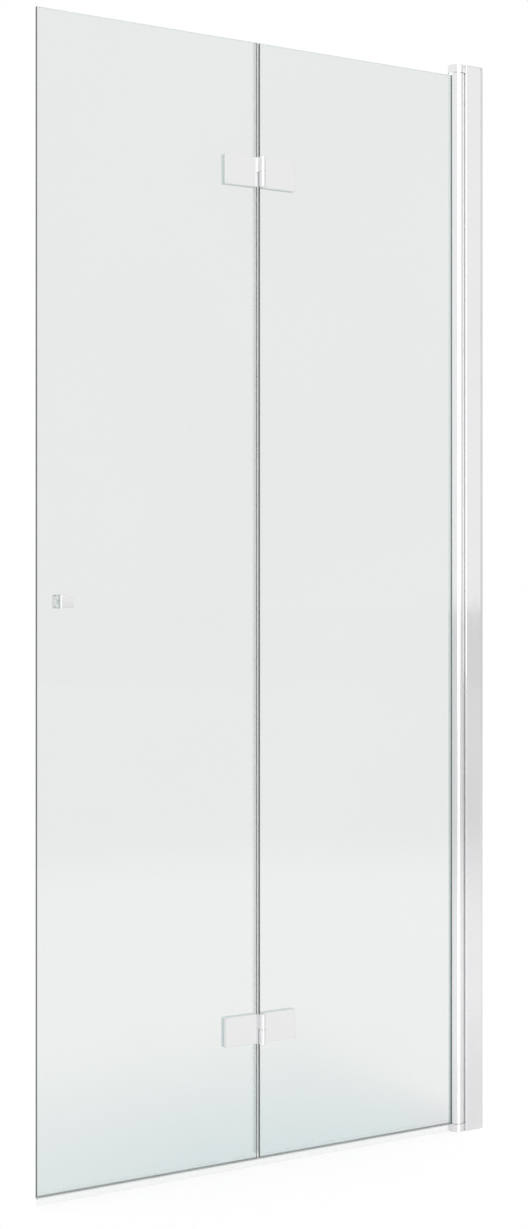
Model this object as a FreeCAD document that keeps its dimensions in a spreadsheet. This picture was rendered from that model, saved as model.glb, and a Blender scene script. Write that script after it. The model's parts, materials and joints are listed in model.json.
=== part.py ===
import FreeCAD, Part
import os
import Sketcher
from FreeCAD import Rotation, Vector

# Folding shower screen: two frameless glass leaves, a pivot tube and an adjustable wall post.
# Millimetres, +Z up. The origin is where the wall meets the floor in the glass's middle plane.
# +X points into the wall, so the screen runs towards -X, and its front faces -Y.

SIZES = {
    # whole screen
    "screen_width": 900,
    "screen_height": 2000,
    # glass leaves
    "glass_thickness": 6,
    "glass_floor_gap": 16,
    "glass_top_drop": 20,
    "glass_arris": 0.5,
    "free_leaf_width": 417,
    "leaf_gap": 5,
    # wall channel and its fixing holes
    "channel_wall": 2,
    "channel_tip_clearance": 1.5,
    "channel_top_gap": 0.5,
    "wall_hole_diameter": 6.5,
    "wall_hole_end_distance": 120,
    "wall_hole_pitch": 580,
    # post that slides over the channel
    "post_lip_offset": 11.1,
    "post_thickness": 32,
    "post_wall": 2,
    "post_wall_gap": 6.9,
    "post_corner_radius": 1.5,
    "slide_clearance": 0.3,
    "cradle_clearance": 0.1,
    "cover_thickness": 3,
    "cover_clearance": 0.15,
    "cover_wall_gap": 0.5,
    "cover_peg_diameter": 4,
    "cover_peg_length": 5,
    "cover_peg_spacing": 8,
    # screws that clamp the post to the channel
    "adjust_travel_in": 1,
    "adjust_travel_out": 14,
    "adjust_screw_diameter": 4,
    "adjust_screw_tip_reach": 1.7,
    "adjust_screw_head_diameter": 8,
    "adjust_screw_head_height": 2.4,
    "adjust_screw_setback": 5.4,
    "adjust_screw_end_distance": 200,
    "adjust_slot_clearance": 0.4,
    # pivot brackets at the post's ends
    "cap_height": 15,
    "cap_overhang": 0.5,
    "cap_edge_radius": 1,
    "tongue_height": 8,
    "tongue_side_gap": 2.2,
    "tongue_end_wall": 4,
    "tongue_clearance": 0.2,
    "port_diameter": 7.5,
    "port_side_gap": 2.45,
    "port_overlap": 1.8,
    "bracket_screw_diameter": 4.2,
    "bracket_screw_head_diameter": 8,
    "bracket_screw_length": 20,
    # pivot tube, its bushes and pins
    "tube_axis_offset": 51.3,
    "tube_set_back": 2,
    "tube_diameter": 31,
    "tube_wall": 2,
    "tube_end_gap": 0.6,
    "slot_wall": 1.6,
    "tube_gasket_wall": 1.1,
    "pivot_pin_diameter": 7,
    "pivot_pin_seat": 10,
    "pivot_pin_reach": 20,
    "pivot_bush_wall": 1.5,
    "pivot_bush_length": 24,
    "pivot_bush_flange_diameter": 14,
    "hub_wall": 1.5,
    # glass hinges
    "hinge_inset": 229,
    "hinge_height": 52,
    "hinge_reach": 71,
    "hinge_plate_thickness": 5,
    "hinge_edge_radius": 0.8,
    "hinge_gasket_thickness": 0.9,
    "gasket_clearance": 0.1,
    "hinge_gasket_inset": 0.2,
    "pin_stand_off": 11.5,
    "pin_shift": 1.1,
    "knuckle_diameter": 11.5,
    "knuckle_setback": 6,
    "knuckle_gap": 0.8,
    "knuckle_end_wall": 2,
    "neck_root": 2,
    "neck_front_angle": 70,
    "neck_back_angle": 30,
    "hinge_pin_diameter": 6,
    "hinge_bush_wall": 1,
    "hinge_bush_flange_inset": 0.5,
    "hinge_screw_diameter": 6,
    "hinge_screw_head_diameter": 11,
    "hinge_screw_setback": 40,
    "hinge_screw_spacing": 25,
    "hinge_screw_end_wall": 1,
    "glass_hole_diameter": 12,
    "collar_clearance": 0.1,
    # knob
    "knob_inset": 46.8,
    "knob_height": 998,
    "knob_size": 23,
    "knob_depth": 8,
    "knob_edge_radius": 1.2,
    "knob_neck_diameter": 17,
    "knob_neck_length": 8,
    "knob_washer_diameter": 18,
    "knob_washer_thickness": 0.9,
    "knob_stud_diameter": 6,
    "knob_stud_seat": 10,
    # clear seals
    "seal_wall": 1,
    "seal_clearance": 0.1,
    "seal_leg": 7.5,
    "seal_end_gap": 0.5,
    "drip_floor_gap": 0.5,
    "drip_lip_reach": 4.6,
    "drip_lip_drop": 6.4,
    "drip_tube_gap": 1.3,
    "edge_seal_leg": 7,
    "edge_seal_tip": 0.8,
    # fits shared by several pieces
    "seat_clearance": 0.02,
    "running_clearance": 0.05,
    "thrust_clearance": 0.1,
    "screw_clearance": 0.4,
    "screw_tip_chamfer": 0.6,
    "hex_key_share": 0.5,
    "countersink_angle": 45,
}

doc = FreeCAD.newDocument("FoldingShowerScreen")
sheet = doc.addObject("Spreadsheet::Sheet", "sizes")
for row, (alias, number) in enumerate(SIZES.items(), 1):
    sheet.set(f"A{row}", alias)
    sheet.set(f"B{row}", str(number))
    sheet.setAlias(f"B{row}", alias)
doc.recompute()

# Places worked out from the driving sizes
GLASS_BOTTOM = "sizes.glass_floor_gap"
GLASS_TOP = "(sizes.screen_height - sizes.glass_top_drop)"
HALF_GLASS = "(sizes.glass_thickness / 2)"
FREE_EDGE_X = "(-sizes.screen_width)"
FREE_INNER_X = f"({FREE_EDGE_X} + sizes.free_leaf_width)"
PIN_X = f"({FREE_INNER_X} + sizes.leaf_gap / 2 + sizes.pin_shift)"
PIN_Y = f"({HALF_GLASS} + sizes.pin_stand_off)"
WALL_LEAF_X = f"({FREE_INNER_X} + sizes.leaf_gap)"
UPPER_HINGE_Z = f"({GLASS_TOP} - sizes.hinge_inset)"
LOWER_HINGE_Z = f"({GLASS_BOTTOM} + sizes.hinge_inset)"
GASKET_FACE = f"({HALF_GLASS} + sizes.gasket_clearance)"
PLATE_INNER = f"({GASKET_FACE} + sizes.hinge_gasket_thickness)"
PLATE_OUTER = f"({PLATE_INNER} + sizes.hinge_plate_thickness)"
HINGE_BUSH_RADIUS = "(sizes.hinge_pin_diameter / 2 + sizes.running_clearance + sizes.hinge_bush_wall)"
KNUCKLE_BORE_END = "(sizes.hinge_height / 2 - sizes.knuckle_end_wall)"

TUBE_X = "(-sizes.tube_axis_offset)"
AXIS_Y = "sizes.tube_set_back"
TUBE_RADIUS = "(sizes.tube_diameter / 2)"
TUBE_BOTTOM = "(sizes.cap_height + sizes.tube_end_gap)"
TUBE_LENGTH = f"(sizes.screen_height - 2 * {TUBE_BOTTOM})"
SLOT_HALF = f"({GASKET_FACE} + sizes.tube_gasket_wall)"
PIVOT_BUSH_BORE = "(sizes.pivot_pin_diameter / 2 + sizes.running_clearance)"
PIVOT_BUSH_RADIUS = f"({PIVOT_BUSH_BORE} + sizes.pivot_bush_wall)"
HUB_RADIUS = f"({PIVOT_BUSH_RADIUS} + sizes.hub_wall)"
SLOT_FLOOR_X = f"({TUBE_X} - {HUB_RADIUS})"
GASKET_FLOOR_X = f"({SLOT_FLOOR_X} - sizes.tube_gasket_wall)"
WALL_GLASS_END_X = f"({GASKET_FLOOR_X} - sizes.gasket_clearance)"
CAP_RADIUS = f"({TUBE_RADIUS} + sizes.cap_overhang)"
CRADLE_RADIUS = f"({CAP_RADIUS} + sizes.cradle_clearance)"
CRADLE_OUTER = f"({CRADLE_RADIUS} + sizes.post_wall)"

POST_LEFT = f"({TUBE_X} + sizes.post_lip_offset)"
POST_RIGHT = "(-sizes.post_wall_gap)"
POST_HALF = "(sizes.post_thickness / 2)"
POST_INNER = f"({POST_HALF} - sizes.post_wall)"
POST_TOP = "(sizes.screen_height - sizes.cover_thickness)"
COVER_RIGHT = "(-sizes.adjust_travel_in - sizes.cover_wall_gap)"
CHANNEL_HALF = f"({POST_INNER} - sizes.slide_clearance)"
CHANNEL_INNER = f"({CHANNEL_HALF} - sizes.channel_wall)"
CHANNEL_HEIGHT = f"({POST_TOP} - sizes.channel_top_gap)"
CRADLE_REACH = f"sqrt({CRADLE_OUTER} ^ 2 - {CHANNEL_INNER} ^ 2)"
CHANNEL_TIP_X = f"({TUBE_X} + {CRADLE_REACH} + sizes.adjust_travel_in + sizes.channel_tip_clearance)"
PORT_REACH = f"({CRADLE_OUTER} - sizes.port_overlap + sizes.port_diameter / 2)"
PORT_Y = f"({CHANNEL_INNER} - sizes.port_diameter / 2 - sizes.port_side_gap)"
PEG_REACH = f"({PORT_REACH} + sizes.port_diameter)"
TONGUE_REACH = f"({PEG_REACH} + sizes.cover_peg_diameter / 2 + sizes.tongue_end_wall)"
TONGUE_HALF = f"({CHANNEL_INNER} - sizes.tongue_side_gap)"
ADJUST_X = f"({CHANNEL_TIP_X} + sizes.adjust_screw_setback)"
ADJUST_SCREW_LENGTH = f"({POST_HALF} - {CHANNEL_INNER} + sizes.adjust_screw_tip_reach)"
ADJUST_SLOT_HALF = "(sizes.adjust_screw_diameter / 2 + sizes.adjust_slot_clearance)"
ADJUST_HEIGHTS = (
    "sizes.adjust_screw_end_distance",
    "(sizes.screen_height / 2)",
    "(sizes.screen_height - sizes.adjust_screw_end_distance)",
)
WALL_HOLE_HEIGHTS = (
    "sizes.wall_hole_end_distance",
    "(sizes.wall_hole_end_distance + sizes.wall_hole_pitch)",
    "(sizes.screen_height - sizes.wall_hole_end_distance - sizes.wall_hole_pitch)",
    "(sizes.screen_height - sizes.wall_hole_end_distance)",
)
KNOB_X = f"({FREE_EDGE_X} + sizes.knob_inset)"
KNOB_SEAT = f"({GASKET_FACE} + sizes.knob_washer_thickness)"
SEAL_INNER = f"({HALF_GLASS} + sizes.seal_clearance)"
SEAL_OUTER = f"({SEAL_INNER} + sizes.seal_wall)"

HALF_TURN = 180
QUARTER_TURN = 90
FULL_TURN = 360
HEX_CORNERS = 6
LEVEL_TOLERANCE = 1e-5

nodes = {}


def value(expression):
    """Number that an expression on the sheet gives."""
    return float(sheet.evalExpression(expression))


def keep(thing, label):
    """Take a finished sub-part as a node under its label."""
    thing.Label = label
    nodes[label] = thing
    return thing


def place(thing, x, y, z):
    """Bind a thing's position to three expressions."""
    for axis, expression in zip("xyz", (x, y, z)):
        thing.setExpression(f"Placement.Base.{axis}", expression)


def new_body(name, x="0", y="0", z="0", axis=Vector(0, 0, 1), turn=0):
    """Empty body at a place, turned about one axis."""
    body = doc.addObject("PartDesign::Body", name)
    body.Placement = FreeCAD.Placement(Vector(), Rotation(axis, turn))
    place(body, x, y, z)
    return body


def new_sketch(body, plane, offset="0"):
    """Sketch on one of the body's own planes, moved along that plane's normal."""
    sketch = body.newObject("Sketcher::SketchObject", body.Name + "Sketch")
    support = [f for f in body.Origin.OriginFeatures if f.Role == plane][0]
    sketch.AttachmentSupport = [(support, "")]
    sketch.MapMode = "FlatFace"
    sketch.setExpression("AttachmentOffset.Base.z", offset)
    return sketch


def pin_point(sketch, geometry, point, x, y):
    """Hold one point of a sketch at two expressions from its origin."""
    for kind, expression in (("DistanceX", x), ("DistanceY", y)):
        rule = Sketcher.Constraint(kind, -1, 1, geometry, point, value(expression))
        index = sketch.addConstraint(rule)
        sketch.setExpression(f"Constraints[{index}]", expression)


def polygon(sketch, corners):
    """Closed outline of straight lines through corners, each a pair of expressions."""
    points = [Vector(value(x), value(y), 0) for x, y in corners]
    first = sketch.GeometryCount
    count = len(points)
    for i in range(count):
        sketch.addGeometry(Part.LineSegment(points[i], points[(i + 1) % count]))
    for i in range(count):
        sketch.addConstraint(Sketcher.Constraint("Coincident", first + i, 2, first + (i + 1) % count, 1))
    for i, (x, y) in enumerate(corners):
        pin_point(sketch, first + i, 1, x, y)


def rectangle(sketch, x0, x1, y0, y1):
    polygon(sketch, [(x0, y0), (x1, y0), (x1, y1), (x0, y1)])


def circle(sketch, x, y, radius):
    centre = Vector(value(x), value(y), 0)
    index = sketch.addGeometry(Part.Circle(centre, Vector(0, 0, 1), value(radius)))
    pin_point(sketch, index, 3, x, y)
    rule = sketch.addConstraint(Sketcher.Constraint("Radius", index, value(radius)))
    sketch.setExpression(f"Constraints[{rule}]", radius)


def pad(body, sketch, length):
    """Solid drawn out along the sketch's normal."""
    feature = body.newObject("PartDesign::Pad", body.Name + "Pad")
    feature.Profile = sketch
    feature.setExpression("Length", length)
    return feature


def pocket(body, sketch, length, along_normal=False):
    """Cut against the sketch's normal, or along it."""
    feature = body.newObject("PartDesign::Pocket", body.Name + "Pocket")
    feature.Profile = sketch
    feature.Reversed = along_normal
    feature.setExpression("Length", length)
    return feature


def revolve(body, corners):
    """Solid of revolution about the body's Z axis, from corners of radius and height."""
    sketch = new_sketch(body, "XZ_Plane")
    polygon(sketch, corners)
    feature = body.newObject("PartDesign::Revolution", body.Name + "Revolution")
    feature.Profile = sketch
    feature.ReferenceAxis = (sketch, ["V_Axis"])
    return feature


def edges_in_plane(shape, axis, level):
    """Names of the straight and round edges that lie at one level along an axis."""
    names = []
    for number, edge in enumerate(shape.Edges, 1):
        box = edge.BoundBox
        low, high = getattr(box, axis + "Min"), getattr(box, axis + "Max")
        if max(abs(low - level), abs(high - level)) < LEVEL_TOLERANCE:
            names.append(f"Edge{number}")
    return names


def dress(body, kind, size_name, size, axis, levels):
    """Fillet or chamfer the edges of the body's tip that lie at the given levels."""
    doc.recompute()
    tip = body.Tip
    names = []
    for level in levels:
        names += edges_in_plane(tip.Shape, axis, value(level))
    feature = body.newObject("PartDesign::" + kind, body.Name + kind)
    feature.Base = (tip, names)
    feature.setExpression(size_name, size)
    return feature


def box(name, x0, x1, y0, y1, z0, z1):
    """Block between two expressions on each axis."""
    block = doc.addObject("Part::Box", name)
    for side, low, high in (("Length", x0, x1), ("Width", y0, y1), ("Height", z0, z1)):
        block.setExpression(side, f"({high}) - ({low})")
    place(block, x0, y0, z0)
    return block


def cylinder(name, radius, height, x, y, z):
    """Upright cylinder standing on a point."""
    rod = doc.addObject("Part::Cylinder", name)
    rod.setExpression("Radius", radius)
    rod.setExpression("Height", height)
    place(rod, x, y, z)
    return rod


def fuse(name, shapes):
    joined = doc.addObject("Part::MultiFuse", name)
    joined.Shapes = shapes
    return joined


def common(name, shapes):
    shared = doc.addObject("Part::MultiCommon", name)
    shared.Shapes = shapes
    return shared


def subtract(name, base, tool):
    remainder = doc.addObject("Part::Cut", name)
    remainder.Base = base
    remainder.Tool = tool
    return remainder


def group(label, bodies):
    """Several like pieces under one node."""
    bundle = doc.addObject("Part::Compound", label)
    bundle.Links = bodies
    return keep(bundle, label)


def countersunk_screw(name, diameter, head_diameter, length, place_at, axis, turn):
    """Countersunk screw along its body's Z axis, with its head's face at the origin."""
    body = new_body(name, *place_at, axis, turn)
    shank, head = f"({diameter} / 2)", f"({head_diameter} / 2)"
    tip = "sizes.screw_tip_chamfer"
    corners = [
        ("0", "0"),
        (head, "0"),
        (shank, f"{head} - {shank}"),
        (shank, f"{length} - {tip}"),
        (f"{shank} - {tip}", length),
        ("0", length),
    ]
    revolve(body, corners)
    hex_socket(body, f"{diameter} * sizes.hex_key_share", "0", f"{head} - {shank}")
    return body


def hex_socket(body, across_corners, level, depth):
    """Six-sided key socket cut into a screw's head, from a level along +Z."""
    sketch = new_sketch(body, "XY_Plane", level)
    step = FULL_TURN / HEX_CORNERS
    corners = []
    for i in range(HEX_CORNERS):
        corners.append((f"{across_corners} * cos({i * step})", f"{across_corners} * sin({i * step})"))
    polygon(sketch, corners)
    pocket(body, sketch, depth, along_normal=True)


def countersunk_holes(body, plane, offset, centres, diameter, head_diameter, depth, along_normal):
    """Screw holes with a cone for the head, from a face into the body."""
    bore = new_sketch(body, plane, offset)
    for x, y in centres:
        circle(bore, x, y, f"{diameter} / 2")
    pocket(body, bore, depth, along_normal)
    cone = new_sketch(body, plane, offset)
    for x, y in centres:
        circle(cone, x, y, f"{head_diameter} / 2")
    sink = pocket(body, cone, f"({head_diameter} - {diameter}) / 2", along_normal)
    sink.setExpression("TaperAngle", "-sizes.countersink_angle")


def make_wall_channel():
    """U-shaped channel that is screwed to the wall."""
    body = new_body("wall_channel", y=AXIS_Y)
    section = new_sketch(body, "XY_Plane")
    half, inner = CHANNEL_HALF, CHANNEL_INNER
    tip, web = CHANNEL_TIP_X, "-sizes.channel_wall"
    corners = [
        ("0", f"-{half}"),
        ("0", half),
        (tip, half),
        (tip, inner),
        (web, inner),
        (web, f"-{inner}"),
        (tip, f"-{inner}"),
        (tip, f"-{half}"),
    ]
    polygon(section, corners)
    pad(body, section, CHANNEL_HEIGHT)
    wall_holes = new_sketch(body, "YZ_Plane")
    for height in WALL_HOLE_HEIGHTS:
        circle(wall_holes, "0", height, "sizes.wall_hole_diameter / 2")
    pocket(body, wall_holes, "sizes.channel_wall")
    screw_holes = new_sketch(body, "XZ_Plane")
    for height in ADJUST_HEIGHTS:
        circle(screw_holes, ADJUST_X, height, "sizes.adjust_screw_diameter / 2 + sizes.seat_clearance")
    pocket(body, screw_holes, CHANNEL_HALF)
    keep(body, "wall_channel")


def make_adjusting_screws():
    """Pan-head screws through the post's slots into the channel's inner flange."""
    screws = []
    shank, head = "sizes.adjust_screw_diameter / 2", "sizes.adjust_screw_head_diameter / 2"
    length, tip = ADJUST_SCREW_LENGTH, "sizes.screw_tip_chamfer"
    face = f"{AXIS_Y} + {POST_HALF} + sizes.seat_clearance"
    for number, height in enumerate(ADJUST_HEIGHTS, 1):
        body = new_body(f"adjusting_screw_{number}", ADJUST_X, face, height, Vector(1, 0, 0), QUARTER_TURN)
        corners = [
            ("0", "-sizes.adjust_screw_head_height"),
            (f"{head} - {tip}", "-sizes.adjust_screw_head_height"),
            (head, f"{tip} - sizes.adjust_screw_head_height"),
            (head, "0"),
            (shank, "0"),
            (shank, f"{length} - {tip}"),
            (f"{shank} - {tip}", length),
            ("0", length),
        ]
        revolve(body, corners)
        hex_size = "sizes.adjust_screw_diameter * sizes.hex_key_share"
        hex_socket(body, hex_size, "-sizes.adjust_screw_head_height", "sizes.adjust_screw_head_height / 2")
        screws.append(body)
    group("adjusting_screws", screws)


def rounded_post_block(name, right, bottom, top):
    """Block of the post's outline with its two tube-side corners rounded."""
    block = box(name, POST_LEFT, right, f"{AXIS_Y} - {POST_HALF}", f"{AXIS_Y} + {POST_HALF}", bottom, top)
    doc.recompute()
    upright = []
    for number, edge in enumerate(block.Shape.Edges, 1):
        bounds = edge.BoundBox
        if bounds.ZLength > bounds.XLength + bounds.YLength and bounds.XMax < value(right):
            upright.append(number)
    rounded = doc.addObject("Part::Fillet", name + "_rounded")
    rounded.Base = block
    radius = value("sizes.post_corner_radius")
    rounded.Edges = [(number, radius, radius) for number in upright]
    return rounded


def make_post_profile():
    """Hollow post with a round cradle for the tube, screw ports, end notches and slots."""
    outline = rounded_post_block("post_outline", POST_RIGHT, "0", POST_TOP)
    cradle = cylinder("post_cradle", CRADLE_RADIUS, POST_TOP, TUBE_X, AXIS_Y, "0")
    room_sides = (f"{AXIS_Y} - {POST_INNER}", f"{AXIS_Y} + {POST_INNER}")
    room = box("post_room", TUBE_X, "0", *room_sides, "0", POST_TOP)
    cradle_back = cylinder("post_cradle_back", CRADLE_OUTER, POST_TOP, TUBE_X, AXIS_Y, "0")
    hollow = subtract("post_hollow", room, cradle_back)
    shell = subtract("post_shell", outline, fuse("post_cuts", [cradle, hollow]))
    port_x = f"{TUBE_X} + {PORT_REACH}"
    ports = []
    bores = []
    for side, sign in (("front", "-"), ("rear", "+")):
        port_y = f"{AXIS_Y} {sign} {PORT_Y}"
        bore = "sizes.bracket_screw_diameter / 2 + sizes.seat_clearance"
        ports.append(cylinder(f"post_port_{side}", "sizes.port_diameter / 2", POST_TOP, port_x, port_y, "0"))
        bores.append(cylinder(f"post_port_bore_{side}", bore, POST_TOP, port_x, port_y, "0"))
    notch_half = f"({TONGUE_HALF} + sizes.tongue_clearance)"
    notch_end = f"{TUBE_X} + {TONGUE_REACH} + sizes.tongue_clearance"
    span = (TUBE_X, notch_end, f"{AXIS_Y} - {notch_half}", f"{AXIS_Y} + {notch_half}")
    lower_notch = box("post_lower_notch", *span, "0", "sizes.tongue_height")
    upper_notch = box("post_upper_notch", *span, f"{POST_TOP} - sizes.tongue_height", POST_TOP)
    slots = []
    outer_y = f"{AXIS_Y} + {POST_HALF}"
    low_x = f"{ADJUST_X} - sizes.adjust_travel_in"
    high_x = f"{ADJUST_X} + sizes.adjust_travel_out"
    for number, height in enumerate(ADJUST_HEIGHTS, 1):
        half = ADJUST_SLOT_HALF
        span_z = (f"{height} - {half}", f"{height} + {half}")
        slots.append(box(f"post_slot_{number}", low_x, high_x, AXIS_Y, outer_y, *span_z))
        for end, x in (("in", low_x), ("out", high_x)):
            round_end = cylinder(f"post_slot_{number}_{end}", half, POST_HALF, x, outer_y, height)
            round_end.Placement.Rotation = Rotation(Vector(1, 0, 0), QUARTER_TURN)
            slots.append(round_end)
    body = fuse("post_with_ports", [shell] + ports)
    tools = fuse("post_tools", bores + [lower_notch, upper_notch] + slots)
    keep(subtract("post_profile", body, tools), "post_profile")


def make_post_top_cover():
    """Cover plate on the post's upper end, held by two pegs in the bracket's tongue."""
    plate = rounded_post_block("cover_outline", COVER_RIGHT, POST_TOP, "sizes.screen_height")
    round_cut = cylinder(
        "cover_round_cut",
        f"{CAP_RADIUS} + sizes.cover_clearance",
        "sizes.cover_thickness",
        TUBE_X,
        AXIS_Y,
        POST_TOP,
    )
    pegs = []
    for side, sign in (("front", "-"), ("rear", "+")):
        pegs.append(
            cylinder(
                f"cover_peg_{side}",
                "sizes.cover_peg_diameter / 2",
                "sizes.cover_peg_length + sizes.cover_thickness / 2",
                f"{TUBE_X} + {PEG_REACH}",
                f"{AXIS_Y} {sign} sizes.cover_peg_spacing / 2",
                f"{POST_TOP} - sizes.cover_peg_length",
            )
        )
    body = subtract("cover_plate", plate, round_cut)
    keep(fuse("post_top_cover", [body] + pegs), "post_top_cover")


def make_pivot_end(end, base, turn, drop, pegs):
    """Bracket, pin, bush and screws of one end of the tube, built upwards from the outer end."""
    about_x = Vector(1, 0, 0)
    bracket = new_body(f"{end}_pivot_bracket", TUBE_X, AXIS_Y, base, about_x, turn)
    head = new_sketch(bracket, "XY_Plane")
    circle(head, "0", "0", CAP_RADIUS)
    pad(bracket, head, "sizes.cap_height")
    dress(bracket, "Fillet", "Radius", "sizes.cap_edge_radius", "Z", ["0"])
    tongue = new_sketch(bracket, "XY_Plane", drop)
    rectangle(tongue, "0", TONGUE_REACH, f"-{TONGUE_HALF}", TONGUE_HALF)
    pad(bracket, tongue, "sizes.tongue_height")
    pin_bore = new_sketch(bracket, "XY_Plane", "sizes.cap_height")
    circle(pin_bore, "0", "0", "sizes.pivot_pin_diameter / 2 + sizes.seat_clearance")
    pocket(bracket, pin_bore, "sizes.pivot_pin_seat")
    centres = [(PORT_REACH, f"-{PORT_Y}"), (PORT_REACH, PORT_Y)]
    hole = "(sizes.bracket_screw_diameter + 2 * sizes.seat_clearance)"
    sink = "(sizes.bracket_screw_head_diameter + 2 * sizes.seat_clearance)"
    countersunk_holes(bracket, "XY_Plane", drop, centres, hole, sink, "sizes.tongue_height", True)
    if pegs:
        peg_holes = new_sketch(bracket, "XY_Plane", drop)
        for sign in ("-", ""):
            radius = "sizes.cover_peg_diameter / 2 + sizes.seat_clearance"
            circle(peg_holes, PEG_REACH, f"{sign}sizes.cover_peg_spacing / 2", radius)
        pocket(bracket, peg_holes, "sizes.cover_peg_length + sizes.seat_clearance", along_normal=True)
    keep(bracket, f"{end}_pivot_bracket")

    pin = new_body(f"{end}_pivot_pin", TUBE_X, AXIS_Y, base, about_x, turn)
    radius, tip = "sizes.pivot_pin_diameter / 2", "sizes.screw_tip_chamfer"
    foot = "(sizes.cap_height - sizes.pivot_pin_seat)"
    top = f"({TUBE_BOTTOM} + sizes.pivot_pin_reach)"
    corners = [
        ("0", foot),
        (f"{radius} - {tip}", foot),
        (radius, f"{foot} + {tip}"),
        (radius, f"{top} - {tip}"),
        (f"{radius} - {tip}", top),
        ("0", top),
    ]
    revolve(pin, corners)
    keep(pin, f"{end}_pivot_pin")

    bush = new_body(f"{end}_tube_bush", TUBE_X, AXIS_Y, base, about_x, turn)
    flange = "sizes.pivot_bush_flange_diameter / 2"
    underside = "(sizes.cap_height + sizes.thrust_clearance)"
    end_face = f"({TUBE_BOTTOM} + sizes.pivot_bush_length)"
    corners = [
        (PIVOT_BUSH_BORE, underside),
        (flange, underside),
        (flange, TUBE_BOTTOM),
        (PIVOT_BUSH_RADIUS, TUBE_BOTTOM),
        (PIVOT_BUSH_RADIUS, end_face),
        (PIVOT_BUSH_BORE, end_face),
    ]
    revolve(bush, corners)
    keep(bush, f"{end}_tube_bush")

    screws = []
    for side, sign in (("front", "-"), ("rear", "+")):
        step = f"({base} + {drop})" if turn == 0 else f"({base} - {drop})"
        place_at = (f"{TUBE_X} + {PORT_REACH}", f"{AXIS_Y} {sign} {PORT_Y}", step)
        screws.append(
            countersunk_screw(
                f"{end}_bracket_screw_{side}",
                "sizes.bracket_screw_diameter",
                "sizes.bracket_screw_head_diameter",
                "sizes.bracket_screw_length",
                place_at,
                about_x,
                turn,
            )
        )
    group(f"{end}_bracket_screws", screws)


def make_pivot_tube():
    """Round tube with a glazing slot, a hub for the bushes and a rib behind the hub."""
    stand = (TUBE_X, AXIS_Y, TUBE_BOTTOM)
    top = f"{TUBE_BOTTOM} + {TUBE_LENGTH}"
    outside = cylinder("tube_outside", TUBE_RADIUS, TUBE_LENGTH, *stand)
    inside = cylinder("tube_inside", f"{TUBE_RADIUS} - sizes.tube_wall", TUBE_LENGTH, *stand)
    shell = subtract("tube_shell", outside, inside)
    jaw_half = f"({SLOT_HALF} + sizes.slot_wall)"
    jaw_start = f"{TUBE_X} - {TUBE_RADIUS}"
    jaw_block = box("tube_jaw_block", jaw_start, TUBE_X, f"-{jaw_half}", jaw_half, TUBE_BOTTOM, top)
    jaws_outside = cylinder("tube_jaw_limit", TUBE_RADIUS, TUBE_LENGTH, *stand)
    jaws = common("tube_jaws", [jaw_block, jaws_outside])
    hub = cylinder("tube_hub", HUB_RADIUS, TUBE_LENGTH, *stand)
    rib_end = f"{TUBE_X} + {TUBE_RADIUS} - sizes.tube_wall / 2"
    rib_sides = (f"{AXIS_Y} - sizes.slot_wall / 2", f"{AXIS_Y} + sizes.slot_wall / 2")
    rib = box("tube_rib", TUBE_X, rib_end, *rib_sides, TUBE_BOTTOM, top)
    slot = box("tube_slot", jaw_start, SLOT_FLOOR_X, f"-{SLOT_HALF}", SLOT_HALF, TUBE_BOTTOM, top)
    bore = cylinder("tube_bore", f"{PIVOT_BUSH_RADIUS} + sizes.seat_clearance", TUBE_LENGTH, *stand)
    body = fuse("tube_section", [shell, jaws, hub, rib])
    keep(subtract("pivot_tube", body, fuse("tube_cuts", [slot, bore])), "pivot_tube")


def make_tube_gasket():
    """U-shaped strip between the tube's slot and the glass, with a block that closes the slot above."""
    body = new_body("tube_gasket")
    section = new_sketch(body, "XY_Plane", GLASS_BOTTOM)
    mouth = f"{TUBE_X} - {TUBE_RADIUS}"
    corners = [
        (mouth, SLOT_HALF),
        (mouth, GASKET_FACE),
        (GASKET_FLOOR_X, GASKET_FACE),
        (GASKET_FLOOR_X, f"-{GASKET_FACE}"),
        (mouth, f"-{GASKET_FACE}"),
        (mouth, f"-{SLOT_HALF}"),
        (SLOT_FLOOR_X, f"-{SLOT_HALF}"),
        (SLOT_FLOOR_X, SLOT_HALF),
    ]
    polygon(section, corners)
    block_foot = f"({GLASS_TOP} + sizes.gasket_clearance)"
    pad(body, section, f"{block_foot} - {GLASS_BOTTOM}")
    block = new_sketch(body, "XY_Plane", block_foot)
    rectangle(block, mouth, SLOT_FLOOR_X, f"-{SLOT_HALF}", SLOT_HALF)
    pad(body, block, f"{TUBE_BOTTOM} + {TUBE_LENGTH} - {block_foot}")
    keep(body, "tube_gasket")


def make_glass(label, left, right, holes):
    """Glass leaf with ground edges and round holes for its hardware."""
    body = new_body(label)
    pane = new_sketch(body, "XZ_Plane", f"-{HALF_GLASS}")
    rectangle(pane, left, right, GLASS_BOTTOM, GLASS_TOP)
    pad(body, pane, "sizes.glass_thickness")
    dress(body, "Chamfer", "Size", "sizes.glass_arris", "Y", [HALF_GLASS, f"-{HALF_GLASS}"])
    drilling = new_sketch(body, "XZ_Plane", f"-{HALF_GLASS}")
    for x, z in holes:
        circle(drilling, x, z, "sizes.glass_hole_diameter / 2")
    pocket(body, drilling, "sizes.glass_thickness", along_normal=True)
    keep(body, label)


def hinge_hole_centres(sign):
    """Places of the hinge screws in one leaf's glass."""
    centres = []
    for height in (UPPER_HINGE_Z, LOWER_HINGE_Z):
        for step in ("-", "+"):
            x = f"{PIN_X} {sign} sizes.hinge_screw_setback"
            centres.append((x, f"{height} {step} sizes.hinge_screw_spacing / 2"))
    return centres


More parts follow.
